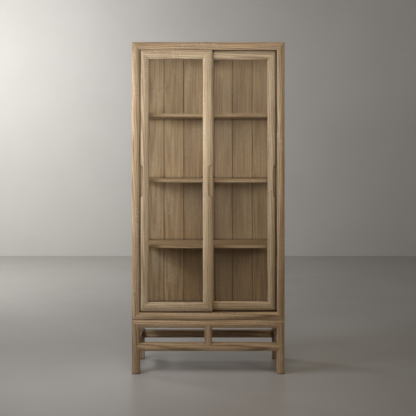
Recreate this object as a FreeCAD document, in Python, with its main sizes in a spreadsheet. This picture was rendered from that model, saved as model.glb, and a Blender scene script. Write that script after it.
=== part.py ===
import FreeCAD, Part
import math
import operator
import os

# A tall kitchen cabinet in limed oak: a glazed case on an open four-legged stand.
# Two framed glass doors slide past each other in grooves in the sill, head and posts.
# Millimetres. +Z is up, the front faces -Y, and the origin is on the floor at the centre.

SIZES = {
    # The whole cabinet
    "cabinet_width": 1016.0,
    "cabinet_depth": 457.0,
    "cabinet_height": 2208.0,
    "stand_height": 358.0,
    # Frame timbers: the face width of every post, leg and rail, and the crown of a front face
    "frame_width": 51.0,
    "frame_crown": 8.5,
    "side_rail_thickness": 40.0,
    "back_rail_depth": 42.0,
    "stand_rail_depth": 52.0,
    "stand_rail_spacing": 103.0,
    # Loose tenons and dowels
    "tenon_thickness": 12.0,
    "tenon_width": 30.0,
    "tenon_reach": 20.0,
    "tenon_inset": 20.0,
    "corner_tenon_width": 18.0,
    "corner_tenon_margin": 10.0,
    "glue_gap": 0.1,
    "dowel_radius": 6.0,
    "dowel_reach": 20.0,
    # Panels and shelves
    "panel_thickness": 18.0,
    "panel_seat": 12.0,
    "front_panel_seat": 9.0,
    "panel_gap": 0.3,
    "side_glass_recess": 14.0,
    "panel_lap": 8.0,
    "shelf_thickness": 20.5,
    "shelf_setback": 2.0,
    "shelf_end_gap": 1.0,
    "shelf_glass_gap": 3.0,
    # Shelf pins
    "pin_radius": 2.5,
    "pin_depth": 9.0,
    "spade_length": 12.0,
    "spade_width": 11.0,
    "spade_thickness": 3.0,
    # Boarded back
    "muntin_width": 65.0,
    "muntin_lip": 6.0,
    "board_thickness": 12.0,
    "board_setback": 14.0,
    "board_bevel": 3.5,
    "board_gap": 0.4,
    "board_tongue_length": 6.0,
    "board_tongue_thickness": 4.0,
    # Sliding doors
    "door_setback": 3.0,
    "door_thickness": 28.0,
    "door_spacing": 4.0,
    "doors_overlap": 56.0,
    "door_lap": 4.0,
    "door_clearance": 1.0,
    "door_rise": 5.0,
    "door_lift": 12.0,
    "track_wall": 10.0,
    "door_frame_width": 64.0,
    "door_crown": 10.0,
    "closing_gap": 7.0,
    "closing_rebate": 14.0,
    "tongue_thickness": 8.0,
    "tongue_inset": 16.0,
    "tongue_depth": 8.0,
    "tongue_end": 20.0,
    "tongue_clearance": 0.4,
    # Door glazing and corner tenons
    "rebate_width": 8.0,
    "rebate_lip": 16.0,
    "glass_thickness": 4.0,
    "glass_gap": 0.3,
    "door_tenon_thickness": 7.0,
    "door_tenon_inset": 17.0,
    "door_tenon_margin": 12.0,
    "door_tenon_length": 44.0,
    "door_tenon_width": 20.0,
    # Finger pulls scooped out of the doors' outer edges
    "pull_height": 213.0,
    "pull_reach": 28.0,
    "pull_depth": 12.0,
    "pull_corner": 20.0,
    "pull_cove": 8.0,
    "pull_drop": 4.0,
    # How far a cutting tool runs past the wood that it cuts
    "overrun": 4.0,
}

BOARDS_PER_SIDE = 3
SHELF_NAMES = ("shelf_lower", "shelf_middle", "shelf_upper")
SIDES = (("left", -1), ("right", 1))

document = FreeCAD.newDocument("mizuya_cabinet")
sheet = document.addObject("Spreadsheet::Sheet", "sizes")
for row, (alias, number) in enumerate(SIZES.items(), start=1):
    sheet.set(f"A{row}", alias)
    sheet.set(f"B{row}", str(number))
    sheet.setAlias(f"B{row}", alias)
document.recompute()


class Length:
    """A length worked out from the sheet: the formula that is bound, and its value."""

    def __init__(self, formula, value):
        self.formula = formula
        self.value = value

    def combine(self, sign, other, swapped=False):
        first, second = (as_length(other), self) if swapped else (self, as_length(other))
        action = {"+": operator.add, "-": operator.sub, "*": operator.mul, "/": operator.truediv}[sign]
        return Length(f"({first.formula} {sign} {second.formula})", action(first.value, second.value))

    def __add__(self, other):
        return self.combine("+", other)

    def __radd__(self, other):
        return self.combine("+", other, swapped=True)

    def __sub__(self, other):
        return self.combine("-", other)

    def __rsub__(self, other):
        return self.combine("-", other, swapped=True)

    def __mul__(self, other):
        return self.combine("*", other)

    def __rmul__(self, other):
        return self.combine("*", other, swapped=True)

    def __truediv__(self, other):
        return self.combine("/", other)

    def __neg__(self):
        return 0 - self


class Sheet:
    """Reads a size from the sheet by its name."""

    def __getattr__(self, name):
        return Length(f"sizes.{name}", SIZES[name])


def as_length(item):
    """A plain count or zero as a length."""
    return item if isinstance(item, Length) else Length(f"({item})", item)


def root(length):
    return Length(f"sqrt({length.formula})", math.sqrt(length.value))


def bind(item, name, length):
    item.setExpression(name, as_length(length).formula)


def place(item, point, axis=None, angle=0):
    """Binds an item's place to the sheet, turned about an axis where one is given."""
    if axis:
        item.Placement = FreeCAD.Placement(FreeCAD.Vector(), FreeCAD.Rotation(FreeCAD.Vector(*axis), angle))
    for letter, length in zip("xyz", point):
        bind(item, f"Placement.Base.{letter}", length)


size = Sheet()
pieces = []


def piece(item, name):
    """Names a finished piece, which is written to a file of that name."""
    item.Label = name
    pieces.append(item)
    return item


def box(name, corner, opposite):
    """A block between two opposite corners, given in any order."""
    block = document.addObject("Part::Box", name)
    low_corner = []
    for side_name, one, other in zip(("Length", "Width", "Height"), corner, opposite):
        low, high = sorted((as_length(one), as_length(other)), key=lambda length: length.value)
        bind(block, side_name, high - low)
        low_corner.append(low)
    place(block, low_corner)
    return block


def rod(name, radius, length, start, axis=None, angle=0):
    cylinder = document.addObject("Part::Cylinder", name)
    bind(cylinder, "Radius", radius)
    bind(cylinder, "Height", length)
    place(cylinder, start, axis, angle)
    return cylinder


def cut(name, base, tools):
    """The base with every tool's shape taken out of it."""
    if len(tools) == 1:
        tool = tools[0]
    else:
        tool = document.addObject("Part::MultiFuse", name + "_tools")
        tool.Shapes = tools
    result = document.addObject("Part::Cut", name)
    result.Base = base
    result.Tool = tool
    return result


def join(name, parts):
    result = document.addObject("Part::MultiFuse", name)
    result.Shapes = parts
    return result


def group(name, parts):
    """Separate solids that share one name."""
    result = document.addObject("Part::Compound", name)
    result.Links = parts
    return piece(result, name)


def triangle(name, corner, far_x, far_z, low_y, high_y):
    """A three-sided block seen from the front, its square corner at `corner` (x, z)."""
    corner_x, corner_z = corner
    wedge = document.addObject("Part::Wedge", name)
    low_x, high_x = sorted((corner_x, far_x), key=lambda length: length.value)
    square_low = corner_z.value < far_z.value
    tip = 0 if corner_x.value < far_x.value else high_x - low_x
    extents = {
        "Xmin": 0, "Xmax": high_x - low_x,
        "Ymin": 0, "Ymax": far_z - corner_z if square_low else corner_z - far_z,
        "Zmin": 0, "Zmax": high_y - low_y,
        "X2min": tip, "X2max": tip,
        "Z2min": 0, "Z2max": high_y - low_y,
    }
    for name_of_extent, length in extents.items():
        bind(wedge, name_of_extent, length)
    across = (1, 0, 0)
    if square_low:
        place(wedge, (low_x, high_y, corner_z), across, 90)
    else:
        place(wedge, (low_x, low_y, corner_z), across, -90)
    return wedge


def edge_bevel(name, corner, run_x, run_y, low_z, high_z):
    """A three-sided block seen from above, which bevels an upright edge at `corner` (x, y)."""
    corner_x, corner_y = corner
    far_x = corner_x + run_x
    low_x, high_x = sorted((corner_x, far_x), key=lambda length: length.value)
    tip = 0 if corner_x.value < far_x.value else high_x - low_x
    wedge = document.addObject("Part::Wedge", name)
    extents = {
        "Xmin": 0, "Xmax": high_x - low_x, "Ymin": 0, "Ymax": run_y,
        "Zmin": 0, "Zmax": high_z - low_z, "X2min": tip, "X2max": tip,
        "Z2min": 0, "Z2max": high_z - low_z,
    }
    for name_of_extent, length in extents.items():
        bind(wedge, name_of_extent, length)
    place(wedge, (low_x, corner_y, low_z))
    return wedge


def notch(name, apex, across, up, low_y, high_y):
    """A block stood on its edge: it cuts a square V that opens from `apex` (x, z) across or up."""
    turn = 90 / 2 - math.degrees(math.atan2(up, across))
    block = document.addObject("Part::Box", name)
    bind(block, "Length", size.frame_width)
    bind(block, "Width", high_y - low_y)
    bind(block, "Height", size.frame_width)
    place(block, (apex[0], low_y, apex[1]), (0, 1, 0), turn)
    return block


# Planes that the pieces share
half_width = size.cabinet_width / 2
front = -(size.cabinet_depth / 2)
back = size.cabinet_depth / 2
post_inner = half_width - size.frame_width
sill_top = size.stand_height + size.frame_width
head_bottom = size.cabinet_height - size.frame_width
back_frame_front = back - size.frame_width
door_edge = post_inner + size.door_lap
door_width = door_edge + size.doors_overlap / 2
door_bottom = sill_top + size.door_rise
door_top = head_bottom + size.door_lap
front_track = front + size.door_setback
rear_track = front_track + size.door_thickness + size.door_spacing
front_depth = rear_track - front + size.door_thickness + size.track_wall
front_frame_back = front + front_depth
TRACKS = (("front_track", front_track), ("rear_track", rear_track))


def crown_radius(width, rise):
    return (width * width / 4 + rise * rise) / (rise * 2)


def crown_fall(width, rise, from_edge):
    """How far a crowned face lies behind its crest at a distance in from its edge."""
    radius = crown_radius(width, rise)
    offset = width / 2 - from_edge
    return radius - root(radius * radius - offset * offset)


def crown_waste(name, low, high, rise, along):
    """What is planed off a timber's front face to leave an arc across its width."""
    run = size.overrun
    slab = box(name + "_slab",
               (low[0] - run, low[1] - run * 2, low[2] - run),
               (high[0] + run, low[1] + rise + run, high[2] + run))
    if along == "x":
        radius = crown_radius(high[2] - low[2], rise)
        middle = (low[2] + high[2]) / 2
        start = (low[0] - run * 2, low[1] + radius, middle)
        round_bar = rod(name + "_round", radius, high[0] - low[0] + run * 4, start, (0, 1, 0), 90)
    else:
        radius = crown_radius(high[0] - low[0], rise)
        middle = (low[0] + high[0]) / 2
        start = (middle, low[1] + radius, low[2] - run * 2)
        round_bar = rod(name + "_round", radius, high[2] - low[2] + run * 4, start)
    return cut(name + "_waste", slab, [round_bar])


def crowned(name, corner, opposite, rise, along, tools):
    """A timber with a crowned front face and its joints cut."""
    pairs = [sorted((as_length(one), as_length(other)), key=lambda length: length.value)
             for one, other in zip(corner, opposite)]
    low = [pair[0] for pair in pairs]
    high = [pair[1] for pair in pairs]
    blank = box(name + "_blank", (low[0], low[1] - size.overrun, low[2]), high)
    return cut(name, blank, [crown_waste(name, low, high, rise, along)] + tools)


def plain(name, corner, opposite, tools):
    """A square timber with its joints cut."""
    return cut(name, box(name + "_blank", corner, opposite), tools)


def mitre(name, side, outer_x, inner_x, outer_z, inner_z, keeps, high_y):
    """The waste of a 45 degree mitre, from a frame's outer corner to its inner one, back to high_y."""
    run = size.overrun
    up = 1 if outer_z.value > inner_z.value else -1
    outer = (outer_x + run * side, outer_z + run * up)
    inner = (inner_x - run * side, inner_z - run * up)
    low_y = front - run * 3
    if keeps == "upright":
        return triangle(name, (inner[0], outer[1]), outer[0], inner[1], low_y, high_y)
    return triangle(name, (outer[0], inner[1]), inner[0], outer[1], low_y, high_y)


class TenonSet:
    """The loose tenons of one assembly, and the mortises that both joined timbers get."""

    def __init__(self, name):
        self.name = name
        self.tenons = []

    def add(self, name, low, high):
        """Adds a tenon between two corners and returns its mortise."""
        self.tenons.append(box(name, low, high))
        gap = size.glue_gap
        return box(name + "_mortise", [length - gap for length in low], [length + gap for length in high])

    def finish(self):
        return group(self.name, self.tenons)


def end_tenon(tenons, name, end_x, middle_z, middle_y):
    """A tenon along X at the end of a rail."""
    return tenons.add(
        name,
        (end_x - size.tenon_reach, middle_y - size.tenon_thickness / 2, middle_z - size.tenon_width / 2),
        (end_x + size.tenon_reach, middle_y + size.tenon_thickness / 2, middle_z + size.tenon_width / 2))


def side_tenon(tenons, name, side, end_y, middle_z):
    """A tenon along Y at the end of a side rail."""
    middle_x = (half_width - size.side_rail_thickness / 2) * side
    return tenons.add(
        name,
        (middle_x - size.tenon_thickness / 2, end_y - size.tenon_reach, middle_z - size.tenon_width / 2),
        (middle_x + size.tenon_thickness / 2, end_y + size.tenon_reach, middle_z + size.tenon_width / 2))


def upright_tenon(tenons, name, middle_x, end_z, middle_y):
    """A tenon along Z at the end of an upright."""
    return tenons.add(
        name,
        (middle_x - size.tenon_width / 2, middle_y - size.tenon_thickness / 2, end_z - size.tenon_reach),
        (middle_x + size.tenon_width / 2, middle_y + size.tenon_thickness / 2, end_z + size.tenon_reach))


def corner_tenon(tenons, name, side, outer_z, up):
    """A tenon that stands in a front upright and crosses its mitre into the rail."""
    middle_x = (half_width - size.frame_width / 2) * side
    tip = outer_z - size.corner_tenon_margin * up
    foot = tip - (size.frame_width + size.corner_tenon_margin) * up
    low_z, high_z = (foot, tip) if up > 0 else (tip, foot)
    low_y = front + size.tenon_inset
    return tenons.add(
        name,
        (middle_x - size.corner_tenon_width / 2, low_y, low_z),
        (middle_x + size.corner_tenon_width / 2, low_y + size.tenon_thickness, high_z))


# The open stand

stand_tenons = TenonSet("stand_tenons")
upper_rail_bottom = size.stand_height - size.frame_width
upper_rail_middle = size.stand_height - size.frame_width / 2
lower_rail_top = upper_rail_bottom - size.stand_rail_spacing
lower_rail_bottom = lower_rail_top - size.frame_width
lower_rail_middle = lower_rail_bottom + size.frame_width / 2
leg_middle = half_width - size.frame_width / 2
front_tenon_middle = front + size.tenon_inset + size.tenon_thickness / 2
back_tenon_middle = back - size.back_rail_depth / 2
RAIL_LEVELS = (("upper", upper_rail_middle), ("lower", lower_rail_middle))


def dowel_places():
    """Where the dowels between the stand and the case stand, as (name, x, y)."""
    quarter = size.cabinet_width / 4
    for side_name, side in SIDES:
        yield f"front_{side_name}", quarter * side, front + size.stand_rail_depth / 2
        yield f"back_{side_name}", quarter * side, back - size.back_rail_depth / 2


def dowel_holes(name, place_name):
    """The holes for the dowels along one rail."""
    gap = size.glue_gap
    length = (size.dowel_reach + gap) * 2
    return [rod(f"{name}_dowel_hole_{spot}", size.dowel_radius + gap, length,
                (x, y, size.stand_height - size.dowel_reach - gap))
            for spot, x, y in dowel_places() if spot.startswith(place_name)]


def make_stand():
    side_mortises = {}
    corner_mortises = {}
    lower_mortises = {}
    back_mortises = {}
    for side_name, side in SIDES:
        corner_mortises[side] = corner_tenon(
            stand_tenons, f"stand_corner_tenon_{side_name}", side, size.stand_height, 1)
        lower_mortises[side] = end_tenon(
            stand_tenons, f"stand_lower_tenon_{side_name}", post_inner * side,
            lower_rail_middle, front_tenon_middle)
        for level, middle in RAIL_LEVELS:
            back_mortises[side, level] = end_tenon(
                stand_tenons, f"stand_back_{level}_tenon_{side_name}", post_inner * side,
                middle, back_tenon_middle)
            for end_name, end_y in (("front", front_frame_back), ("back", back_frame_front)):
                side_mortises[side, level, end_name] = side_tenon(
                    stand_tenons, f"stand_{side_name}_{level}_tenon_{end_name}", side, end_y, middle)
    strut_mortises = {}
    for end_name, end_z in (("top", upper_rail_bottom), ("foot", lower_rail_top)):
        strut_mortises["front", end_name] = upright_tenon(
            stand_tenons, f"strut_front_tenon_{end_name}", as_length(0), end_z, front_tenon_middle)
        strut_mortises["back", end_name] = upright_tenon(
            stand_tenons, f"strut_back_tenon_{end_name}", as_length(0), end_z, back_tenon_middle)

    notch_front = front - size.overrun * 2
    notch_floor = front + size.frame_crown
    rail_back = front + size.stand_rail_depth
    for side_name, side in SIDES:
        outer, inner = half_width * side, post_inner * side
        tools = [
            mitre(f"leg_{side_name}_mitre", side, outer, inner, size.stand_height, upper_rail_bottom,
                  "upright", rail_back),
            notch(f"leg_{side_name}_notch", (leg_middle * side, lower_rail_middle), -side, 0,
                  notch_front, notch_floor),
            corner_mortises[side],
            lower_mortises[side],
            side_mortises[side, "upper", "front"],
            side_mortises[side, "lower", "front"],
        ]
        leg = crowned(f"leg_front_{side_name}", (outer, front, as_length(0)),
                      (inner, front_frame_back, size.stand_height), size.frame_crown, "z", tools)
        piece(leg, f"leg_front_{side_name}")
        tools = [back_mortises[side, level] for level, middle in RAIL_LEVELS]
        tools += [side_mortises[side, level, "back"] for level, middle in RAIL_LEVELS]
        leg = plain(f"leg_back_{side_name}", (outer, back_frame_front, as_length(0)),
                    (inner, back, size.stand_height), tools)
        piece(leg, f"leg_back_{side_name}")
        for level, middle in RAIL_LEVELS:
            tools = [side_mortises[side, level, end_name] for end_name in ("front", "back")]
            name = f"stand_{level}_rail_{side_name}"
            rail = plain(
                name,
                (outer, front_frame_back, middle - size.frame_width / 2),
                (outer - size.side_rail_thickness * side, back_frame_front, middle + size.frame_width / 2),
                tools)
            piece(rail, name)

    tools = [notch("upper_rail_strut_notch", (0, upper_rail_middle), 0, -1, notch_front, notch_floor),
             strut_mortises["front", "top"]]
    for side_name, side in SIDES:
        tools.append(mitre(f"stand_upper_rail_mitre_{side_name}", side, half_width * side,
                           post_inner * side, size.stand_height, upper_rail_bottom, "rail",
                           rail_back + size.overrun))
        tools.append(corner_mortises[side])
    rail = crowned("stand_upper_rail_front", (-half_width, front, upper_rail_bottom),
                   (half_width, rail_back, size.stand_height), size.frame_crown, "x",
                   tools + dowel_holes("stand_front", "front"))
    piece(rail, "stand_upper_rail_front")

    tools = [notch("lower_rail_strut_notch", (0, lower_rail_middle), 0, 1, notch_front, notch_floor),
             strut_mortises["front", "foot"]]
    run = size.overrun
    for side_name, side in SIDES:
        tip_x = leg_middle * side
        shoulder_x = post_inner * side
        for level_name, up in (("top", 1), ("foot", -1)):
            edge_z = lower_rail_middle + (size.frame_width / 2 + run) * up
            tools.append(triangle(
                f"lower_rail_point_{side_name}_{level_name}", (tip_x + run * side, edge_z),
                shoulder_x - run * side, lower_rail_middle - run * up, notch_front, rail_back + run))
        tools.append(box(f"lower_rail_shoulder_{side_name}",
                         (tip_x + run * side, notch_floor, lower_rail_bottom - run),
                         (shoulder_x, rail_back + run, lower_rail_top + run)))
        tools.append(lower_mortises[side])
    rail = crowned("stand_lower_rail_front", (-leg_middle, front, lower_rail_bottom),
                   (leg_middle, rail_back, lower_rail_top), size.frame_crown, "x", tools)
    piece(rail, "stand_lower_rail_front")

    tools = [strut_mortises["front", "top"], strut_mortises["front", "foot"]]
    strut_half = size.frame_width / 2
    for end_name, tip_z, shoulder_z, up in (("top", upper_rail_middle, upper_rail_bottom, 1),
                                            ("foot", lower_rail_middle, lower_rail_top, -1)):
        for side_name, side in SIDES:
            tools.append(triangle(
                f"strut_point_{end_name}_{side_name}", ((strut_half + run) * side, tip_z + run * up),
                -(run * side), shoulder_z - run * up, notch_front, rail_back + run))
        tools.append(box(f"strut_shoulder_{end_name}",
                         (-(strut_half + run), notch_floor, tip_z + run * up),
                         (strut_half + run, rail_back + run, shoulder_z)))
    strut = crowned("stand_strut_front", (-strut_half, front, lower_rail_middle),
                    (strut_half, rail_back, upper_rail_middle), size.frame_crown, "z", tools)
    piece(strut, "stand_strut_front")

    for level, middle in RAIL_LEVELS:
        tools = [back_mortises[side, level] for side_name, side in SIDES]
        tools.append(strut_mortises["back", "top" if level == "upper" else "foot"])
        if level == "upper":
            tools += dowel_holes("stand_back", "back")
        name = f"stand_{level}_rail_back"
        rail = plain(name, (-post_inner, back - size.back_rail_depth, middle - size.frame_width / 2),
                     (post_inner, back, middle + size.frame_width / 2), tools)
        piece(rail, name)
    strut = plain("stand_strut_back", (-strut_half, back - size.back_rail_depth, lower_rail_top),
                  (strut_half, back, upper_rail_bottom),
                  [strut_mortises["back", "top"], strut_mortises["back", "foot"]])
    piece(strut, "stand_strut_back")
    stand_tenons.finish()


# The case frame

case_tenons = TenonSet("case_tenons")
case_bottom = size.stand_height
CASE_LEVELS = (("top", head_bottom, size.cabinet_height, 1), ("bottom", sill_top, case_bottom, -1))
groove_fall = crown_fall(size.door_frame_width, size.door_crown, size.door_lap)
boards_front = back - size.board_setback - size.board_thickness
side_glass_outer = half_width - size.side_glass_recess
side_glass_inner = side_glass_outer - size.glass_thickness
floor_bottom = sill_top - size.panel_thickness
ceiling_bottom = size.cabinet_height - size.panel_thickness
front_seat = front_frame_back - size.front_panel_seat
back_seat = back - size.back_rail_depth + size.panel_seat
side_seat = half_width - size.side_rail_thickness + size.panel_seat
PANEL_LEVELS = {"top": (ceiling_bottom, size.cabinet_height), "bottom": (floor_bottom, sill_top)}


def door_grooves():
    """The grooves that the doors' top and side edges run in, cut in posts and head alike."""
    grooves = []
    groove_top = door_top + size.door_lift
    reach = door_edge + size.door_clearance
    for track_name, track in TRACKS:
        low_y = track + groove_fall - size.door_clearance
        high_y = track + size.door_thickness + size.door_clearance
        grooves.append(box(f"head_groove_{track_name}", (-reach, low_y, head_bottom - size.overrun),
                           (reach, high_y, groove_top)))
        for side_name, side in SIDES:
            grooves.append(box(f"post_groove_{track_name}_{side_name}",
                               ((post_inner - size.overrun) * side, low_y, sill_top),
                               (reach * side, high_y, groove_top)))
    return grooves


def sill_grooves():
    """The narrow grooves in the sill that the doors' tongues run in."""
    grooves = []
    reach = door_edge - size.tongue_end + size.door_clearance
    for track_name, track in TRACKS:
        low_y = track + size.tongue_inset - size.tongue_clearance
        high_y = track + size.tongue_inset + size.tongue_thickness + size.tongue_clearance
        grooves.append(box(f"sill_groove_{track_name}",
                           (-reach, low_y, sill_top - size.tongue_depth - size.tongue_clearance),
                           (reach, high_y, sill_top + size.overrun)))
    return grooves


def side_glass_grooves(side_name, side):
    """The grooves round one side pane, cut in two posts and two side rails."""
    lap = size.panel_lap
    return [box(f"side_glass_groove_{side_name}",
                (side_glass_outer * side, front_frame_back - lap, sill_top - lap),
                (side_glass_inner * side, back_frame_front + lap, head_bottom + lap))]


def board_grooves():
    """The groove round the boarded back, cut in the back posts and rails."""
    lap = size.panel_lap
    return [box("board_groove", (-(post_inner + lap), boards_front, sill_top - lap),
                (post_inner + lap, boards_front + size.board_thickness, head_bottom + lap))]


def panel_seats():
    """The rebates that the floor panel and the top panel lie in, one block for each."""
    seats = {}
    for level, (low_z, high_z) in PANEL_LEVELS.items():
        seats[level] = box(f"{level}_panel_seat", (-side_seat, front_seat, low_z),
                           (side_seat, back_seat, high_z + size.overrun))
    return seats


def make_case_frame():
    side_mortises = {}
    corner_mortises = {}
    back_mortises = {}
    muntin_mortises = {}
    for level, inner_z, outer_z, up in CASE_LEVELS:
        middle = (inner_z + outer_z) / 2
        muntin_mortises[level] = upright_tenon(
            case_tenons, f"muntin_tenon_{level}", as_length(0), inner_z,
            boards_front + size.board_thickness / 2)
        for side_name, side in SIDES:
            corner_mortises[side, level] = corner_tenon(
                case_tenons, f"case_corner_tenon_{level}_{side_name}", side, outer_z, up)
            back_mortises[side, level] = end_tenon(
                case_tenons, f"case_back_tenon_{level}_{side_name}", post_inner * side,
                middle, back_tenon_middle)
            for end_name, end_y in (("front", front_frame_back), ("back", back_frame_front)):
                side_mortises[side, level, end_name] = side_tenon(
                    case_tenons, f"case_{side_name}_{level}_tenon_{end_name}", side, end_y, middle)

    grooves = door_grooves()
    boards = board_grooves()
    seats = panel_seats()
    for side_name, side in SIDES:
        outer, inner = half_width * side, post_inner * side
        pane = side_glass_grooves(side_name, side)
        tools = grooves + pane + pin_holes(side_name, "front")
        for level, inner_z, outer_z, up in CASE_LEVELS:
            tools.append(mitre(f"post_{side_name}_mitre_{level}", side, outer, inner, outer_z, inner_z,
                               "upright", front_frame_back + size.overrun))
            tools.append(corner_mortises[side, level])
            tools.append(side_mortises[side, level, "front"])
        post = crowned(f"post_front_{side_name}", (outer, front, case_bottom),
                       (inner, front_frame_back, size.cabinet_height), size.frame_crown, "z", tools)
        piece(post, f"post_front_{side_name}")
        tools = pane + boards + pin_holes(side_name, "back")
        for level in ("top", "bottom"):
            tools.append(back_mortises[side, level])
            tools.append(side_mortises[side, level, "back"])
        post = plain(f"post_back_{side_name}", (outer, back_frame_front, case_bottom),
                     (inner, back, size.cabinet_height), tools)
        piece(post, f"post_back_{side_name}")
        for level, inner_z, outer_z, up in CASE_LEVELS:
            tools = pane + [seats[level]]
            tools += [side_mortises[side, level, end_name] for end_name in ("front", "back")]
            name = f"{level}_rail_{side_name}"
            rail = plain(name, (outer, front_frame_back, inner_z),
                         (outer - size.side_rail_thickness * side, back_frame_front, outer_z), tools)
            piece(rail, name)

    for level, inner_z, outer_z, up in CASE_LEVELS:
        tools = [box(f"{level}_rail_front_seat",
                     (-post_inner, front_seat, PANEL_LEVELS[level][0]),
                     (post_inner, front_frame_back + size.overrun, PANEL_LEVELS[level][1] + size.overrun))]
        tools += grooves if level == "top" else sill_grooves() + dowel_holes("case_front", "front")
        for side_name, side in SIDES:
            tools.append(mitre(f"{level}_rail_front_mitre_{side_name}", side, half_width * side,
                               post_inner * side, outer_z, inner_z, "rail",
                               front_frame_back + size.overrun))
            tools.append(corner_mortises[side, level])
            tools.append(side_mortises[side, level, "front"])
        name = f"{level}_rail_front"
        rail = crowned(name, (-half_width, front, inner_z), (half_width, front_frame_back, outer_z),
                       size.frame_crown, "x", tools)
        piece(rail, name)
        tools = [seats[level], muntin_mortises[level]] + boards
        tools += [back_mortises[side, level] for side_name, side in SIDES]
        if level == "bottom":
            tools += dowel_holes("case_back", "back")
        name = f"{level}_rail_back"
        rail = plain(name, (-post_inner, back - size.back_rail_depth, inner_z),
                     (post_inner, back, outer_z), tools)
        piece(rail, name)

    dowels = [rod(f"case_dowel_{spot}", size.dowel_radius, size.dowel_reach * 2,
                  (x, y, size.stand_height - size.dowel_reach))
              for spot, x, y in dowel_places()]
    group("case_dowels", dowels)
    make_back(muntin_mortises)
    case_tenons.finish()


def make_back(muntin_mortises):
    """The centre muntin and the beaded boards of the back."""
    half_muntin = size.muntin_width / 2
    lap = size.panel_lap
    run = size.overrun
    boards_back = boards_front + size.board_thickness
    boards_middle = boards_front + size.board_thickness / 2
    tools = [muntin_mortises["top"], muntin_mortises["bottom"]]
    for side_name, side in SIDES:
        tools.append(box(f"muntin_groove_{side_name}",
                         ((half_muntin - lap) * side, boards_front, sill_top - run),
                         ((half_muntin + run) * side, boards_back, head_bottom + run)))
    muntin = plain("back_muntin", (-half_muntin, back_frame_front, sill_top),
                   (half_muntin, boards_back + size.muntin_lip, head_bottom), tools)
    piece(muntin, "back_muntin")

    low_z = sill_top - lap + size.panel_gap
    high_z = head_bottom + lap - size.panel_gap
    pitch = (post_inner - half_muntin) / BOARDS_PER_SIDE
    gap = size.board_gap / 2
    half_tongue = size.board_tongue_thickness / 2
    slack = size.glue_gap
    for side_name, side in SIDES:
        for number in range(1, BOARDS_PER_SIDE + 1):
            name = f"back_board_{side_name}_{number}"
            first = number == 1
            last = number == BOARDS_PER_SIDE
            joint = half_muntin + pitch * number
            near = joint - pitch + gap
            far = joint - gap
            low_x = half_muntin - lap + size.panel_gap if first else near
            high_x = post_inner + lap - size.panel_gap if last else far
            parts = [box(name + "_blank", (low_x * side, boards_front, low_z),
                         (high_x * side, boards_back, high_z))]
            tools = []
            if not last:
                parts.append(box(name + "_tongue",
                                 ((far - run) * side, boards_middle - half_tongue, low_z),
                                 ((far + size.board_tongue_length) * side,
                                  boards_middle + half_tongue, high_z)))
                tools.append(edge_bevel(name + "_outer_bevel", (far * side, boards_front),
                                        -(size.board_bevel * side), size.board_bevel, low_z, high_z))
            if not first:
                deep = size.board_tongue_length + slack
                tools.append(box(name + "_groove",
                                 ((near - run) * side, boards_middle - half_tongue - slack, low_z - run),
                                 ((near + deep) * side, boards_middle + half_tongue + slack, high_z + run)))
                tools.append(edge_bevel(name + "_inner_bevel", (near * side, boards_front),
                                        size.board_bevel * side, size.board_bevel, low_z, high_z))
            body = parts[0] if len(parts) == 1 else join(name + "_body", parts)
            piece(cut(name, body, tools), name)


# Panels, shelves and shelf pins

shelf_front = front_frame_back + size.shelf_setback
shelf_end = side_glass_inner - size.shelf_glass_gap


def make_panels():
    for name, level in (("top_panel", "top"), ("floor_panel", "bottom")):
        low_z, high_z = PANEL_LEVELS[level]
        gap = size.panel_gap
        run = size.overrun
        tools = []
        for side_name, side in SIDES:
            tools.append(box(f"{name}_front_notch_{side_name}",
                             (post_inner * side, front_seat - run, low_z - run),
                             ((side_seat + run) * side, front_frame_back, high_z + run)))
            tools.append(box(f"{name}_back_notch_{side_name}",
                             (post_inner * side, back_frame_front, low_z - run),
                             ((side_seat + run) * side, back_seat + run, high_z + run)))
        panel = plain(name, (-(side_seat - gap), front_seat + gap, low_z),
                      (side_seat - gap, back_seat - gap, high_z), tools)
        piece(panel, name)


def shelf_levels():
    """Each shelf's name and the height of its underside: the bays are all as high as each other."""
    pitch = (head_bottom - sill_top + size.shelf_thickness) / (len(SHELF_NAMES) + 1)
    for number, name in enumerate(SHELF_NAMES, start=1):
        yield name, sill_top + pitch * number - size.shelf_thickness


def pin_places():
    """Each shelf pin's name, side, end, x, the face and way that it goes in, and its shelf's underside."""
    for name, underside in shelf_levels():
        for side_name, side in SIDES:
            x = (post_inner + shelf_end) / 2 * side
            for end_name, face_y, inward in (("front", front_frame_back, -1),
                                             ("back", back_frame_front, 1)):
                yield (f"{name}_pin_{side_name}_{end_name}", side_name, end_name, x, face_y, inward,
                       underside)


def pin_holes(post_side, post_end):
    """The holes for the shelf pins in one post."""
    holes = []
    for name, side_name, end_name, x, face_y, inward, underside in pin_places():
        if (side_name, end_name) == (post_side, post_end):
            holes.append(rod(name + "_hole", size.pin_radius + size.glue_gap,
                             size.pin_depth + size.glue_gap + size.overrun,
                             (x, face_y - size.overrun * inward, underside - size.pin_radius),
                             (1, 0, 0), -90 * inward))
    return holes


def make_side_glass():
    lap = size.panel_lap - size.panel_gap
    for side_name, side in SIDES:
        name = f"side_glass_{side_name}"
        glass = box(name, (side_glass_outer * side, front_frame_back - lap, sill_top - lap),
                    (side_glass_inner * side, back_frame_front + lap, head_bottom + lap))
        piece(glass, name)


def make_shelves():
    end = shelf_end
    gap = size.shelf_end_gap
    run = size.overrun
    for name, underside in shelf_levels():
        top = underside + size.shelf_thickness
        half_muntin = size.muntin_width / 2 + gap
        tools = [box(name + "_muntin_notch", (-half_muntin, back_frame_front - gap, underside - run),
                     (half_muntin, boards_front, top + run))]
        for side_name, side in SIDES:
            tools.append(box(f"{name}_post_notch_{side_name}",
                             ((post_inner - gap) * side, back_frame_front - gap, underside - run),
                             ((end + run) * side, boards_front, top + run)))
        shelf = plain(name, (-end, shelf_front, underside), (end, boards_front - gap, top), tools)
        piece(shelf, name)


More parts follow.
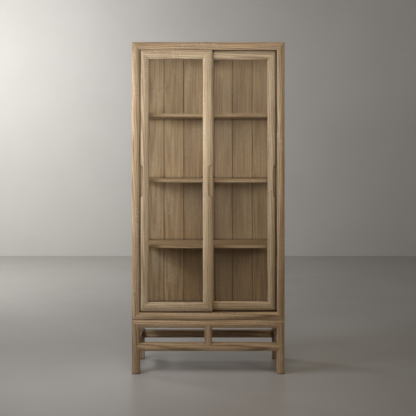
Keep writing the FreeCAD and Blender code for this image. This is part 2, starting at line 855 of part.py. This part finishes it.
def make_pins():
    pins = []
    for name, side_name, end_name, x, face_y, inward, underside in pin_places():
        peg = rod(name + "_peg", size.pin_radius, size.pin_depth + size.pin_radius,
                  (x, face_y - size.pin_radius * inward, underside - size.pin_radius),
                  (1, 0, 0), -90 * inward)
        spade = box(name + "_spade",
                    (x - size.spade_width / 2, face_y, underside - size.spade_thickness),
                    (x + size.spade_width / 2, face_y - size.spade_length * inward, underside))
        pins.append(join(name, [peg, spade]))
    group("shelf_pins", pins)


# The sliding doors

def edges_where(shape, test):
    """The names of the edges whose bounding boxes pass the test."""
    names = []
    for number, edge in enumerate(shape.Edges, start=1):
        if test(edge.BoundBox):
            names.append(f"Edge{number}")
    return names


def pull_tool(name, side, edge_x, track, middle_z):
    """The scooped waste of a finger pull: rounded ends, and a cove round its floor."""
    run = size.overrun
    body = document.addObject("PartDesign::Body", name)
    block = body.newObject("PartDesign::AdditiveBox", name + "_block")
    bind(block, "Length", size.pull_reach + run)
    bind(block, "Width", size.pull_depth + run)
    bind(block, "Height", size.pull_height)
    document.recompute()
    reach = (size.pull_reach + run).value
    floor = (size.pull_depth + run).value
    tiny = size.glue_gap.value / 10

    ends = body.newObject("PartDesign::Fillet", name + "_ends")
    ends.Base = (block, edges_where(block.Shape, lambda bounds: bounds.XMin > reach - tiny
                                    and bounds.YLength > tiny and bounds.ZLength < tiny))
    bind(ends, "Radius", size.pull_corner)
    document.recompute()

    cove = body.newObject("PartDesign::Fillet", name + "_cove")
    cove.Base = (ends, edges_where(ends.Shape, lambda bounds: bounds.YMin > floor - tiny
                                   and bounds.XMax > tiny))
    bind(cove, "Radius", size.pull_cove)
    body.Tip = cove
    low_y = track - run
    if side < 0:
        place(body, (edge_x - run, low_y, middle_z - size.pull_height / 2))
    else:
        place(body, (edge_x + run, low_y, middle_z + size.pull_height / 2), (0, 1, 0), 180)
    return body


def make_door(door, low_x, track, closing_side):
    """One framed glass door: four mitred timbers, a pane held by beads, and loose tenons."""
    run = size.overrun
    high_x = low_x + door_width
    high_y = track + size.door_thickness
    width = size.door_frame_width
    pane_low_z, pane_high_z = door_bottom + width, door_top - width
    edges = {-1: low_x, 1: high_x}
    inner_edges = {side: edge - width * side for side, edge in edges.items()}
    levels = (("top", door_top, pane_high_z, 1), ("bottom", door_bottom, pane_low_z, -1))
    tenons = TenonSet(f"{door}_tenons")

    rebate = size.rebate_width
    opening = box(f"{door}_rebate",
                  (inner_edges[-1] - rebate, track + size.rebate_lip, pane_low_z - rebate),
                  (inner_edges[1] + rebate, high_y + run, pane_high_z + rebate))
    # The edge that closes on a post is thinned to a tongue, which leaves a shadow gap beside the post
    closing = box(f"{door}_closing_rebate",
                  (edges[closing_side] + run * closing_side, track - run, door_bottom - run),
                  (edges[closing_side] - (size.door_lap + size.closing_gap) * closing_side,
                   track + size.closing_rebate, door_top + run))
    mortises = {}
    for level, outer_z, inner_z, up in levels:
        middle_z = outer_z - width / 2 * up
        for side_name, side in SIDES:
            tip = edges[side] - size.door_tenon_margin * side
            low_y = track + size.door_tenon_inset
            end = tip - size.door_tenon_length * side
            ends = sorted((tip, end), key=lambda length: length.value)
            mortises[side, level] = tenons.add(
                f"{door}_tenon_{level}_{side_name}",
                (ends[0], low_y, middle_z - size.door_tenon_width / 2),
                (ends[1], low_y + size.door_tenon_thickness, middle_z + size.door_tenon_width / 2))

    middle_z = (door_bottom + door_top) / 2 - size.pull_drop
    for side_name, side in SIDES:
        name = f"{door}_stile_{side_name}"
        tools = [opening, pull_tool(f"{door}_pull_{side_name}", side, edges[side], track, middle_z)]
        if side == closing_side:
            tools.append(closing)
        for level, outer_z, inner_z, up in levels:
            tools.append(mitre(f"{name}_mitre_{level}", side, edges[side], inner_edges[side],
                               outer_z, inner_z, "upright", high_y + run))
            tools.append(mortises[side, level])
        stile = crowned(name, (edges[side], track, door_bottom), (inner_edges[side], high_y, door_top),
                        size.door_crown, "z", tools)
        piece(stile, name)

    for level, outer_z, inner_z, up in levels:
        name = f"{door}_rail_{level}"
        tools = [opening, closing]
        for side_name, side in SIDES:
            tools.append(mitre(f"{name}_mitre_{side_name}", side, edges[side], inner_edges[side],
                               outer_z, inner_z, "rail", high_y + run))
            tools.append(mortises[side, level])
        label = name if level == "top" else name + "_timber"
        rail = crowned(label, (low_x, track, outer_z), (high_x, high_y, inner_z),
                       size.door_crown, "x", tools)
        if level == "bottom":
            tongue = box(f"{door}_tongue",
                         (low_x + size.tongue_end, track + size.tongue_inset,
                          sill_top - size.tongue_depth),
                         (high_x - size.tongue_end,
                          track + size.tongue_inset + size.tongue_thickness, door_bottom + run))
            rail = join(name, [rail, tongue])
        piece(rail, name)

    gap = size.glass_gap
    glass_low_y = track + size.rebate_lip + gap
    glass_high_y = glass_low_y + size.glass_thickness
    pane = rebate - gap
    glass = box(f"{door}_glass", (inner_edges[-1] - pane, glass_low_y, pane_low_z - pane),
                (inner_edges[1] + pane, glass_high_y, pane_high_z + pane))
    piece(glass, f"{door}_glass")

    beads = []
    bead_low_y = glass_high_y + gap
    for side_name, side in SIDES:
        outer = inner_edges[side] + rebate * side
        beads.append(box(f"{door}_bead_{side_name}", (outer, bead_low_y, pane_low_z - rebate),
                         (inner_edges[side], high_y, pane_high_z + rebate)))
    for level, outer_z, inner_z, up in levels:
        beads.append(box(f"{door}_bead_{level}", (inner_edges[-1], bead_low_y, inner_z + rebate * up),
                         (inner_edges[1], high_y, inner_z)))
    group(f"{door}_beads", beads)
    tenons.finish()


make_stand()
make_case_frame()
make_panels()
make_side_glass()
make_shelves()
make_pins()
make_door("left_door", -door_edge, front_track, -1)
make_door("right_door", door_edge - door_width, rear_track, 1)
document.recompute()

# Every object has to have built, and every piece has to be a valid solid, before any is written
for item in document.Objects:
    failed = [word for word in item.State if word in ("Invalid", "Error")]
    if failed:
        raise RuntimeError(f"{item.Label} is {failed}")
for item in pieces:
    if item.Shape.isNull() or not item.Shape.isValid() or not item.Shape.Solids:
        raise RuntimeError(f"{item.Label} has no valid solid")

os.makedirs("parts", exist_ok=True)
for item in pieces:
    item.Shape.exportStep(f"parts/{item.Label}.step")
bounds = Part.makeCompound([item.Shape for item in pieces]).BoundBox
print(f"{len(pieces)} pieces, {bounds.XLength:.1f} x {bounds.YLength:.1f} x {bounds.ZLength:.1f} mm")
print(f"doors {door_width.value:.1f} mm wide, travel {(door_edge * 2 - door_width).value:.1f} mm")
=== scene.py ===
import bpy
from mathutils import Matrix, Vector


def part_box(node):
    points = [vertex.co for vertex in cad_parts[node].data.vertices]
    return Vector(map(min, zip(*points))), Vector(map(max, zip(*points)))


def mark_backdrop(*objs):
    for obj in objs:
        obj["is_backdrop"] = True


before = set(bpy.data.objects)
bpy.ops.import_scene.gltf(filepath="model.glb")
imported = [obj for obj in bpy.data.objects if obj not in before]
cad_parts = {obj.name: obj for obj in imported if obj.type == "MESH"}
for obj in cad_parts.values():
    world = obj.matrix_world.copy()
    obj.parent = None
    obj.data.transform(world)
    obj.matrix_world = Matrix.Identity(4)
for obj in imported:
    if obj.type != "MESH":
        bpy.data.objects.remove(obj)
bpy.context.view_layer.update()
print("pieces in the packed cabinet:", len(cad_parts))

# %% [markdown]
# A mizuya is a Japanese kitchen cabinet that stands in two sections: an open
# stand, and a case with sliding doors. This one is joined in limed oak and
# glazed. Its timbers, joints, grooves and glass all come from the CAD model
# with their right shapes, so this lesson dresses them: it gives each timber
# its own grain, then sets up the floor, the wall, the lamps and the camera.

# %% Modules and colours
import math

import bpy
from mathutils import Vector


def linear(hex_colour):
    """An sRGB hex colour as the linear RGBA that shaders use."""
    channels = [int(hex_colour[i:i + 2], 16) / 255 for i in (0, 2, 4)]
    return [c / 12.92 if c <= 0.04045 else ((c + 0.055) / 1.055) ** 2.4 for c in channels] + [1.0]


print("a middle grey in linear light:", round(linear("808080")[0], 3))

# %% [markdown]
# Every finish here is a small tree of shader nodes. One function adds a node,
# sets its own settings, and fills its inputs, each with a plain value or with
# another node's output.

# %% One node at a time
def add_node(tree, kind, inputs=None, out=None, **settings):
    """Adds a node and returns it, or its output `out`. Sockets are named, or numbered."""
    made = tree.nodes.new(kind)
    for name, value in settings.items():
        setattr(made, name, value)
    for name, value in (inputs or {}).items():
        if isinstance(value, bpy.types.NodeSocket):
            tree.links.new(value, made.inputs[name])
        else:
            made.inputs[name].default_value = value
    return made if out is None else made.outputs[out]


def new_finish(name):
    """An empty material and its node tree."""
    finish = bpy.data.materials.new(name)
    finish.use_nodes = True
    finish.node_tree.nodes.clear()
    return finish, finish.node_tree


print("finishes are built from nodes")

# %% [markdown]
# Limed oak is oak whose open pores were brushed out and filled with white
# wax. The eye sees a soft, warm greige wood with straight darker growth
# bands, pale lime in the pores, and here and there the ray flecks that oak
# shows where it was sawn through its middle. The wax leaves it satin. The
# corners, the gaps and the finger pulls are darkened with painted shade.
# Real growth rings are 2 mm apart and pores 0.3 mm wide, which is far too
# fine for this picture, so the rings are drawn 11 mm apart, the streaks of
# tone between them 11 mm wide, the fibres 6 mm and the pores 1.2 mm.

# %% The sizes of oak's figure, in metres
RING_WIDTH = 0.011
RING_STRETCH = 9          # a ring changes so many times slower along the timber
HEART_LEAN = 0.022        # how far a heart line wanders sideways in each metre
SOFT_EDGE = 0.0016        # the radius that sanding leaves on an edge
# Painted shade: the next value is how far the painted darkening of corners and gaps reaches.
CREASE_DEPTH = 0.020      # how far from a corner the wood is darkened
FIGURE = {
    # width and length, detail and roughness, the noise that shows, what it is drawn as
    "bands": ((0.030, 0.500), (2, 0.5), (0.35, 0.60), (0.35, 1)),
    "streaks": ((0.011, 0.374), (3, 0.6), (0.36, 0.68), (0, 1)),
    "fibres": ((0.006, 0.192), (3, 0.6), (0, 1), (0, 1)),
    "pores": ((0.0012, 0.0264), (2, 0.5), (0.56, 0.66), (0, 1)),
    "clouds": ((0.100, 0.500), (2, 0.5), (0, 1), (0, 1)),
    "ray_marks": ((0.022, 0.004), (1, 0.5), (0.58, 0.66), (0, 1)),
    "ray_groups": ((0.100, 0.160), (0, 0.5), (0.50, 0.60), (0, 1)),
}
POST_WIDTH = 0.051
print("rings across one post:", round(POST_WIDTH / RING_WIDTH))

# %% [markdown]
# The grain could be painted on unwrapped faces. It is worked out in space
# instead, from the heart line of the log that each timber was sawn from. So
# it runs round the edges and into the end grain. Each piece carries its own
# heart line and a number of its own, which moves its patterns to a fresh
# place. Each pattern is a noise that is stretched along the timber.

# %% Patterns in a timber's own place
AXES = {"X": 0, "Y": 1, "Z": 2}
PIECE_SHIFT = (0.83, 0.57, 3.1)     # metres from the first piece's patterns to the last one's


def stretched(across, along, axis):
    """Scales that make a pattern `across` metres wide and `along` metres long."""
    scales = [1 / across] * 3
    scales[AXES[axis]] = 1 / along
    return scales


def oak_patterns(tree, axis):
    """Every pattern of the figure, with the piece's own number and its place from the heart."""
    place = add_node(tree, "ShaderNodeTexCoord", out="Object")
    heart = add_node(tree, "ShaderNodeAttribute", out="Vector",
                     attribute_type="OBJECT", attribute_name="heart")
    board = add_node(tree, "ShaderNodeAttribute", out="Fac",
                     attribute_type="OBJECT", attribute_name="board")
    from_heart = add_node(tree, "ShaderNodeVectorMath", {0: place, 1: heart}, "Vector",
                          operation="SUBTRACT")
    shift = add_node(tree, "ShaderNodeVectorMath", {0: PIECE_SHIFT, "Scale": board}, "Vector",
                     operation="SCALE")
    own_place = add_node(tree, "ShaderNodeVectorMath", {0: from_heart, 1: shift}, "Vector",
                         operation="ADD")
    drawn = {"board": board, "from_heart": from_heart}
    for name, (size, (detail, rough), (low, high), (first, last)) in FIGURE.items():
        scaled = add_node(tree, "ShaderNodeVectorMath", {0: own_place, 1: stretched(*size, axis)},
                          "Vector", operation="MULTIPLY")
        noise = add_node(tree, "ShaderNodeTexNoise",
                         {"Vector": scaled, "Scale": 1.0, "Detail": detail, "Roughness": rough},
                         "Fac")
        drawn[name] = add_node(tree, "ShaderNodeMapRange",
                               {0: noise, 1: low, 2: high, 3: first, 4: last}, "Result")
    return drawn


print("patterns in each timber:", len(FIGURE))

# %% [markdown]
# Growth rings are cylinders round the heart line. The line leans a little, so
# that the rings meet a face at a low angle and draw arches, as in a real
# board. Their dark late wood comes and goes in bands.

# %% Growth rings
RING_WOBBLE = 9.0
LATE_WOOD_FROM = 0.30     # the share of a ring's swing at which the late wood starts


def growth_rings(tree, axis, from_heart):
    """The dark late wood of the rings round the heart line, from 0 to 1."""
    unit = [1.0 if AXES[axis] == index else 0.0 for index in range(3)]
    lean = [0.0 if AXES[axis] == index else HEART_LEAN for index in range(3)]
    along = add_node(tree, "ShaderNodeVectorMath", {0: from_heart, 1: unit}, "Value",
                     operation="DOT_PRODUCT")
    aside = add_node(tree, "ShaderNodeVectorMath", {0: lean, "Scale": along}, "Vector",
                     operation="SCALE")
    leaning = add_node(tree, "ShaderNodeVectorMath", {0: from_heart, 1: aside}, "Vector",
                       operation="ADD")
    ring_place = add_node(tree, "ShaderNodeVectorMath",
                          {0: leaning, 1: stretched(1, RING_STRETCH, axis)}, "Vector",
                          operation="MULTIPLY")
    rings = add_node(tree, "ShaderNodeTexWave",
                     {"Vector": ring_place, "Scale": math.tau / 20 / RING_WIDTH,
                      "Distortion": RING_WOBBLE, "Detail": 3.0, "Detail Scale": 0.22,
                      "Detail Roughness": 0.6}, "Fac",
                     wave_type="RINGS", rings_direction=axis, wave_profile="SIN")
    return add_node(tree, "ShaderNodeMapRange", {0: rings, 1: LATE_WOOD_FROM, 2: 1.0}, "Result")


print("each ring's scale in the wave texture:", round(math.tau / 20 / RING_WIDTH, 1))

# %% [markdown]
# The colour is built in layers, as the finish was. The figure darkens the
# wood, lime fills the pores and the ray flecks, and a slow change of tone
# makes each piece differ a little from its neighbours.

# %% The colour of limed oak
DARKENING = {"late_wood": 0.45, "streaks": 0.50, "fibres": 0.45}
DARKNESS_MIDDLE = 0.65
DARKNESS_REACH = 0.47
LIMING = {"pores": 0.30, "flecks": 0.40}
TONE_BY_BOARD = 0.45
TONES = (0.91, 1.08)


def oak_colour(tree, drawn, strength, wood, shade, lime):
    """The wood's colour before its edges and corners are worn."""
    darkness = 0.0
    for name, weight in DARKENING.items():
        darkness = add_node(tree, "ShaderNodeMath", {0: drawn[name], 1: weight, 2: darkness}, 0,
                            operation="MULTIPLY_ADD")
    reach = DARKNESS_REACH / strength
    share = add_node(tree, "ShaderNodeMapRange",
                     {0: darkness, 1: DARKNESS_MIDDLE - reach, 2: DARKNESS_MIDDLE + reach},
                     "Result")
    colour = add_node(tree, "ShaderNodeMix", {0: share, 6: linear(wood), 7: linear(shade)}, 2,
                      data_type="RGBA")
    for name, most in LIMING.items():
        share = add_node(tree, "ShaderNodeMath", {0: drawn[name], 1: most}, 0,
                         operation="MULTIPLY")
        colour = add_node(tree, "ShaderNodeMix", {0: share, 6: colour, 7: linear(lime)}, 2,
                          data_type="RGBA")
    cloudy = add_node(tree, "ShaderNodeMath",
                      {0: drawn["board"], 1: TONE_BY_BOARD, 2: drawn["clouds"]}, 0,
                      operation="MULTIPLY_ADD")
    tone = add_node(tree, "ShaderNodeMapRange",
                    {0: cloudy, 1: 0.4, 2: 1.05, 3: TONES[0], 4: TONES[1]}, "Result")
    return add_node(tree, "ShaderNodeMix", {0: 1.0, 6: colour, 7: tone}, 2,
                    data_type="RGBA", blend_type="MULTIPLY")


print("lime in the pores and flecks:", LIMING)

# %% [markdown]
# Sanding left every edge a little round, and hands have worn those edges back
# to the lime. A bevel in the shader bends the light there, and where it turns
# away from the flat face the lime shows. Corners that little light reaches
# are painted dark, as painted shade. Open fibres and pores make a faint relief.

# %% Limed oak
# The dark colour that is painted into corners, gaps and finger pulls as shade.
CREASE_SHADE = "2B1A0F"
MOST_WORN = 0.25
MOST_DARKENED = 0.95
RELIEF_DEPTH = 0.0006     # metres
FIBRE_RISE = 0.6
PORE_RISE = -0.5


def limed_oak(name, axis, strength, wood, shade, lime):
    """Oak with its grain along an axis: its wood, its dark bands and its lime."""
    finish, tree = new_finish(name)
    drawn = oak_patterns(tree, axis)
    rings = growth_rings(tree, axis, drawn["from_heart"])
    drawn["late_wood"] = add_node(tree, "ShaderNodeMath", {0: rings, 1: drawn["bands"]}, 0,
                                  operation="MULTIPLY")
    drawn["flecks"] = add_node(tree, "ShaderNodeMath",
                               {0: drawn["ray_marks"], 1: drawn["ray_groups"]}, 0,
                               operation="MULTIPLY")
    colour = oak_colour(tree, drawn, strength, wood, shade, lime)

    rounded = add_node(tree, "ShaderNodeBevel", {"Radius": SOFT_EDGE}, "Normal", samples=4)
    flat = add_node(tree, "ShaderNodeNewGeometry", out="Normal")
    facing = add_node(tree, "ShaderNodeVectorMath", {0: rounded, 1: flat}, "Value",
                      operation="DOT_PRODUCT")
    # Painted shade: ambient occlusion darkens the wood where little light would reach.
    openness = add_node(tree, "ShaderNodeAmbientOcclusion", {"Distance": CREASE_DEPTH}, "AO",
                        samples=6)
    for seen, (start, full), most, tint in ((facing, (0.98, 0.80), MOST_WORN, lime),
                                            (openness, (0.80, 0.42), MOST_DARKENED, CREASE_SHADE)):
        share = add_node(tree, "ShaderNodeMapRange", {0: seen, 1: start, 2: full, 4: most},
                         "Result")
        colour = add_node(tree, "ShaderNodeMix", {0: share, 6: colour, 7: linear(tint)}, 2,
                          data_type="RGBA")

    raised = add_node(tree, "ShaderNodeMath", {0: drawn["fibres"], 1: FIBRE_RISE}, 0,
                      operation="MULTIPLY")
    height = add_node(tree, "ShaderNodeMath", {0: drawn["pores"], 1: PORE_RISE, 2: raised}, 0,
                      operation="MULTIPLY_ADD")
    relief = add_node(tree, "ShaderNodeBump", {"Strength": 0.35, "Distance": RELIEF_DEPTH,
                                               "Height": height, "Normal": rounded}, "Normal")
    open_grain = add_node(tree, "ShaderNodeMath", {0: drawn["fibres"], 1: drawn["pores"]}, 0,
                          operation="ADD")
    roughness = add_node(tree, "ShaderNodeMapRange",
                         {0: open_grain, 1: 0.3, 2: 1.5, 3: 0.46, 4: 0.66}, "Result")
    oak = add_node(tree, "ShaderNodeBsdfPrincipled",
                   {"Base Color": colour, "Roughness": roughness, "Normal": relief, "IOR": 1.5},
                   "BSDF")
    add_node(tree, "ShaderNodeOutputMaterial", {"Surface": oak})
    return finish


print("corners are darkened over", CREASE_DEPTH * 1000, "mm")

# %% [markdown]
# The door timbers came from paler boards than the frame, and the panels and
# shelves from quieter ones. Rails were sawn with a stronger figure than posts.

# %% The oak of each kind of piece
OAK_COLOURS = {           # the wood, its dark bands and its lime
    "frame": ("C1A480", "7F6347", "D2C6B3"),
    "door": ("CEB693", "927658", "DED4C4"),
    "panel": ("C9AD86", "8E6F4F", "D2C6B3"),
}
TIMBER_FIGURE = {"X": 1.5, "Y": 1.3, "Z": 1.1}
PANEL_FIGURE = 0.85
OAK = {axis: {wood: limed_oak(f"limed_oak_{wood}_grain_{axis.lower()}", axis,
                              PANEL_FIGURE if wood == "panel" else figure, *colours)
              for wood, colours in OAK_COLOURS.items()}
       for axis, figure in TIMBER_FIGURE.items()}
print("oak finishes:", sum(len(group) for group in OAK.values()))

# %% [markdown]
# Window glass is soda-lime glass with an index of 1.52. A pane that bends
# light properly would leave the shelves dark, because a lamp can't be traced
# through it. So the pane is plain glass to the camera, and lets lamp light
# and the light that wood throws back go straight through.

# %% Clear window glass
def window_glass():
    finish, tree = new_finish("clear_window_glass")
    pane = add_node(tree, "ShaderNodeBsdfPrincipled",
                    {"Base Color": linear("FBFCFB"), "Roughness": 0.0, "IOR": 1.52,
                     "Transmission Weight": 1.0}, "BSDF")
    path = add_node(tree, "ShaderNodeLightPath")
    passes = add_node(tree, "ShaderNodeMath",
                      {0: path.outputs["Is Shadow Ray"], 1: path.outputs["Is Diffuse Ray"]}, 0,
                      operation="MAXIMUM")
    through = add_node(tree, "ShaderNodeBsdfTransparent", {"Color": linear("FDFDFC")}, "BSDF")
    both = add_node(tree, "ShaderNodeMixShader", {0: passes, 1: pane, 2: through}, "Shader")
    add_node(tree, "ShaderNodeOutputMaterial", {"Surface": both})
    return finish


GLASS = window_glass()
print("glass:", GLASS.name)

# %% [markdown]
# Two small finishes are left. The loose tenons and dowels are plain beech,
# which is paler and closer than oak. The shelf pins are turned steel with a
# zinc finish, dull and faintly brushed round the pin.

# %% Beech for the joints
def beech():
    finish, tree = new_finish("planed_beech")
    place = add_node(tree, "ShaderNodeTexCoord", out="Object")
    specks = add_node(tree, "ShaderNodeTexNoise",
                      {"Vector": place, "Scale": 350.0, "Detail": 2.0}, "Fac")
    colour = add_node(tree, "ShaderNodeMix",
                      {0: specks, 6: linear("C9A67E"), 7: linear("B48E66")}, 2,
                      data_type="RGBA")
    relief = add_node(tree, "ShaderNodeBump",
                      {"Strength": 0.2, "Distance": 0.0003, "Height": specks}, "Normal")
    wood = add_node(tree, "ShaderNodeBsdfPrincipled",
                    {"Base Color": colour, "Roughness": 0.6, "Normal": relief}, "BSDF")
    add_node(tree, "ShaderNodeOutputMaterial", {"Surface": wood})
    return finish


BEECH = beech()
print("joint finish:", BEECH.name)

# %% Zinc-plated steel for the pins
def zinc_steel():
    finish, tree = new_finish("zinc_plated_steel")
    place = add_node(tree, "ShaderNodeTexCoord", out="Object")
    brushed = add_node(tree, "ShaderNodeVectorMath", {0: place, 1: (3000.0, 400.0, 400.0)},
                       "Vector", operation="MULTIPLY")
    lines = add_node(tree, "ShaderNodeTexNoise",
                     {"Vector": brushed, "Scale": 1.0, "Detail": 1.0}, "Fac")
    roughness = add_node(tree, "ShaderNodeMapRange", {0: lines, 3: 0.28, 4: 0.46}, "Result")
    colour = add_node(tree, "ShaderNodeMix",
                      {0: lines, 6: linear("BDBEBC"), 7: linear("A7A8A6")}, 2,
                      data_type="RGBA")
    steel = add_node(tree, "ShaderNodeBsdfPrincipled",
                     {"Base Color": colour, "Metallic": 1.0, "Roughness": roughness}, "BSDF")
    add_node(tree, "ShaderNodeOutputMaterial", {"Surface": steel})
    return finish


ZINC = zinc_steel()
print("pin finish:", ZINC.name)

# %% [markdown]
# A joiner cuts each piece with its grain along its length: upright in legs,
# posts, stiles and boards, across in rails and shelves, and front to back in
# the side rails.

# %% Which way each grain runs, and which finish each piece has
SIDE_RAILS = ("rail_left", "rail_right")
ACROSS = ("rail_front", "rail_back", "rail_top", "rail_bottom",
          "shelf_", "top_panel", "floor_panel")
PANELS = ("back_", "top_panel", "floor_", "shelf_")


def grain_axis(piece):
    if piece.endswith(SIDE_RAILS):
        return "Y"
    return "X" if any(word in piece for word in ACROSS) else "Z"


def finish_of(piece):
    if "glass" in piece:
        return GLASS
    if piece == "shelf_pins":
        return ZINC
    if piece.endswith(("tenons", "dowels")):
        return BEECH
    wood = "door" if "_door_" in piece else "panel" if piece.startswith(PANELS) else "frame"
    return OAK[grain_axis(piece)][wood]


print("grain of a shelf and a leg:", grain_axis("shelf_upper"), grain_axis("leg_front_left"))

# %% [markdown]
# Each piece also gets its own place in a log: the heart line lies beside it
# or behind it, 40 to 160 mm away, as it would for timbers that were sawn from
# different parts of different trees. Steps of the golden ratio give every
# piece a number of its own between 0 and 1, the same in every run.

# %% Dress the pieces
NEAREST_HEART = 0.04
HEART_REACH = 0.12
TURNS = 5.3               # how often the heart lines go round while the number goes from 0 to 1
GOLDEN = (math.sqrt(5) - 1) / 2


def heart_line(piece, step):
    """A point on the heart line of the log that a piece was sawn from."""
    low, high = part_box(piece)
    middle = [(a + b) / 2 for a, b in zip(low, high)]
    distance = NEAREST_HEART + HEART_REACH * step
    angle = math.tau * (step * TURNS % 1)
    across = [index for index in range(3) if index != AXES[grain_axis(piece)]]
    middle[across[0]] += distance * math.cos(angle)
    middle[across[1]] += distance * math.sin(angle)
    return middle


for number, (piece, thing) in enumerate(sorted(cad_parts.items())):
    step = (number * GOLDEN) % 1
    thing["board"] = step
    thing["heart"] = heart_line(piece, step)
    for one in thing.material_slots:
        one.material = finish_of(piece)
print("dressed pieces:", len(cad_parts))

# %% [markdown]
# The cabinet stands on a pale, slightly polished concrete floor, well in
# front of a plastered wall. Both are plain sheets with a slow mottling.

# %% Mineral surfaces
def mottled(name, pale, dark, size, rough_low, rough_high):
    """A mineral surface whose tone drifts over `size` metres."""
    finish, tree = new_finish(name)
    place = add_node(tree, "ShaderNodeTexCoord", out="Object")
    drift = add_node(tree, "ShaderNodeTexNoise",
                     {"Vector": place, "Scale": 1 / size, "Detail": 5.0, "Roughness": 0.55},
                     "Fac")
    colour = add_node(tree, "ShaderNodeMix", {0: drift, 6: linear(pale), 7: linear(dark)}, 2,
                      data_type="RGBA")
    roughness = add_node(tree, "ShaderNodeMapRange", {0: drift, 3: rough_low, 4: rough_high},
                         "Result")
    surface = add_node(tree, "ShaderNodeBsdfPrincipled",
                       {"Base Color": colour, "Roughness": roughness}, "BSDF")
    add_node(tree, "ShaderNodeOutputMaterial", {"Surface": surface})
    return finish


CONCRETE = mottled("polished_concrete", "BBB8B4", "ABA8A4", 0.9, 0.30, 0.42)
PLASTER = mottled("troweled_plaster", "E2DFDB", "D6D3CF", 0.8, 0.8, 0.9)
print("studio finishes:", CONCRETE.name, PLASTER.name)

# %% Floor and wall
WALL_Y = 6.29
STUDIO_REACH = 9          # from the middle of the cabinet to the studio's other edges
WALL_HEIGHT = 7


def sheet_of(name, corners, finish):
    mesh = bpy.data.meshes.new(name)
    mesh.from_pydata(corners, [], [(0, 1, 2, 3)])
    mesh.materials.append(finish)
    sheet = bpy.data.objects.new(name, mesh)
    bpy.context.scene.collection.objects.link(sheet)
    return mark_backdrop(sheet)


sheet_of("studio_floor", [(-STUDIO_REACH, -STUDIO_REACH, 0), (STUDIO_REACH, -STUDIO_REACH, 0),
                          (STUDIO_REACH, WALL_Y, 0), (-STUDIO_REACH, WALL_Y, 0)], CONCRETE)
sheet_of("studio_wall", [(-STUDIO_REACH, WALL_Y, 0), (STUDIO_REACH, WALL_Y, 0),
                         (STUDIO_REACH, WALL_Y, WALL_HEIGHT),
                         (-STUDIO_REACH, WALL_Y, WALL_HEIGHT)], PLASTER)
print("wall stands", WALL_Y, "m behind the cabinet's middle")

# %% [markdown]
# The light comes from a window on the left, which brightens the left side of
# each crowned timber and rakes across the shelves through the glass side. Two
# lamps out to the sides light only the upper shelves, one high up and one on
# the right light only the cabinet and leave the floor dim, and a broad one
# washes the wall. They are hidden from reflections, so that no pane shows a
# bright square. Daylight is a little cool, and the room's own light is warm.

# %% Lamps
DAYLIGHT = "F0F6FF"
ROOM_LIGHT = "FFF1DC"
WALL_LIGHT = "FFFFFF"
LAMPS = {   # place, target, side of the square in metres, watts, colour, spread in degrees
    "window_light": ((-2.09, -0.55, 1.95), (0, -0.05, 1.9), 0.5, 13.5, DAYLIGHT, 115),
    "left_front_light": ((-1.42, -1.11, 1.3), (0, 0, 1.0), 0.6, 13, DAYLIGHT, 180),
    "upper_left_light": ((-1.6, -3.4, 2.0), (0.05, 0, 1.95), 0.9, 2.2, DAYLIGHT, 35),
    "upper_right_light": ((1.6, -3.4, 2.0), (-0.1, 0, 1.95), 0.9, 1.2, DAYLIGHT, 35),
    "high_light": ((0.0, -1.9, 3.5), (-0.1, 0, 0.2), 0.8, 3.3, ROOM_LIGHT, 75),
    "right_fill": ((2.3, -2.2, 1.8), (0, 0, 0.7), 0.9, 2.7, ROOM_LIGHT, 80),
    "wall_wash": ((-4.2, 2.6, 3.4), (-1.5, WALL_Y, 1.5), 1.8, 195, WALL_LIGHT, 180),
}

for name, (place, target, size, watts, colour, spread) in LAMPS.items():
    data = bpy.data.lights.new(name, "AREA")
    data.size = size
    data.spread = math.radians(spread)
    data.energy = watts
    data.color = linear(colour)[:3]
    lamp = bpy.data.objects.new(name, data)
    lamp.location = place
    aim = Vector(target) - Vector(place)
    lamp.rotation_euler = aim.to_track_quat("-Z", "Y").to_euler()
    lamp.visible_glossy = lamp.visible_transmission = False
    bpy.context.scene.collection.objects.link(lamp)
print("lamps:", len(LAMPS))

# %% The light of the room itself
SKY_STRENGTH = 0.09
sky = bpy.data.worlds.new("dim_studio")
sky.use_nodes = True
sky.node_tree.nodes["Background"].inputs["Color"].default_value = linear(ROOM_LIGHT)
sky.node_tree.nodes["Background"].inputs["Strength"].default_value = SKY_STRENGTH
bpy.context.scene.world = sky
print("world:", sky.name)

# %% [markdown]
# The camera stands level at 1.44 m, straight in front. The picture is framed
# by shifting the lens down and not by tilting it, so the uprights stay
# upright. Its place and lens come from the cabinet's edges in the photograph.

# %% Camera
PHOTO_SIDE = 416          # pixels, as are the lens, the middle's shift and the horizon's row
LENS_LENGTH = 813
MIDDLE_SHIFT = -0.25
HORIZON_ROW = 158
SENSOR_WIDTH = 36         # millimetres
CAMERA_DISTANCE = 5.6285
EYE_HEIGHT = 1.437
camera_data = bpy.data.cameras.new("level_camera")
camera_data.sensor_width = SENSOR_WIDTH
camera_data.lens = LENS_LENGTH / PHOTO_SIDE * SENSOR_WIDTH
camera_data.shift_x = MIDDLE_SHIFT / PHOTO_SIDE
camera_data.shift_y = (HORIZON_ROW - PHOTO_SIDE / 2) / PHOTO_SIDE
camera = bpy.data.objects.new("level_camera", camera_data)
camera.location = (0, -CAMERA_DISTANCE, EYE_HEIGHT)
camera.rotation_euler = (math.radians(90), 0, 0)
bpy.context.scene.collection.objects.link(camera)
bpy.context.scene.camera = camera
bpy.context.scene.view_settings.view_transform = "Standard"
print("lens:", round(camera_data.lens, 1), "mm")
